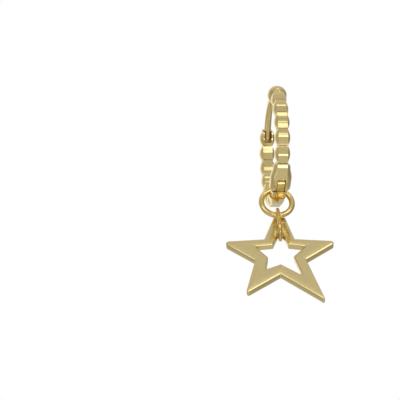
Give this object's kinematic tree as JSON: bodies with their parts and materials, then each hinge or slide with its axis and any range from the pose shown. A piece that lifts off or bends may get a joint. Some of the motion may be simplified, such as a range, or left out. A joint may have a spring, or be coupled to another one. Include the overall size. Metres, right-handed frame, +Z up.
{
  "type": "hoop charm earring",
  "caption": "Hinged hoop earring of beaded gold with a snap post, and an open star charm that hangs from it on a jump ring and a link.",
  "frame": {"origin": "where the post passes through the ear lobe, at the top of the hoop", "axes": "+Z up, -Y to the front, the hoop in the plane X = 0, the star across X"},
  "size_m": [0.0127, 0.0146, 0.0291],
  "materials": {
    "hoop_gold": "polished pale yellow gold",
    "pin_gold": "polished pale yellow gold",
    "ring_gold": "polished pale yellow gold",
    "link_gold": "polished yellow gold",
    "star_gold": "polished pale yellow gold"
  },
  "bodies": {
    "front": {"front_arm": "hoop_gold", "hinge_pin": "pin_gold"},
    "back": {"back_arm": "hoop_gold"},
    "ring": {"jump_ring": "ring_gold"},
    "charm": {"link": "link_gold", "star": "star_gold"}
  },
  "joints": [
    {"name": "hoop_open", "type": "hinge", "parent": "front", "child": "back", "pos_m": [0, -0.00061, -0.01297], "axis": [-1, 0, 0], "range_deg": [0, 40]},
    {"name": "ring_turn", "type": "hinge", "parent": "back", "child": "ring", "pos_m": [0, 0.00284, -0.01298], "axis": [0, 0.9968, 0.0802], "range_deg": [-30, 30]},
    {"name": "star_swing", "type": "hinge", "parent": "ring", "child": "charm", "pos_m": [0, 0.00299, -0.01484], "axis": [1, 0, 0], "range_deg": [-25, 25]}
  ]
}
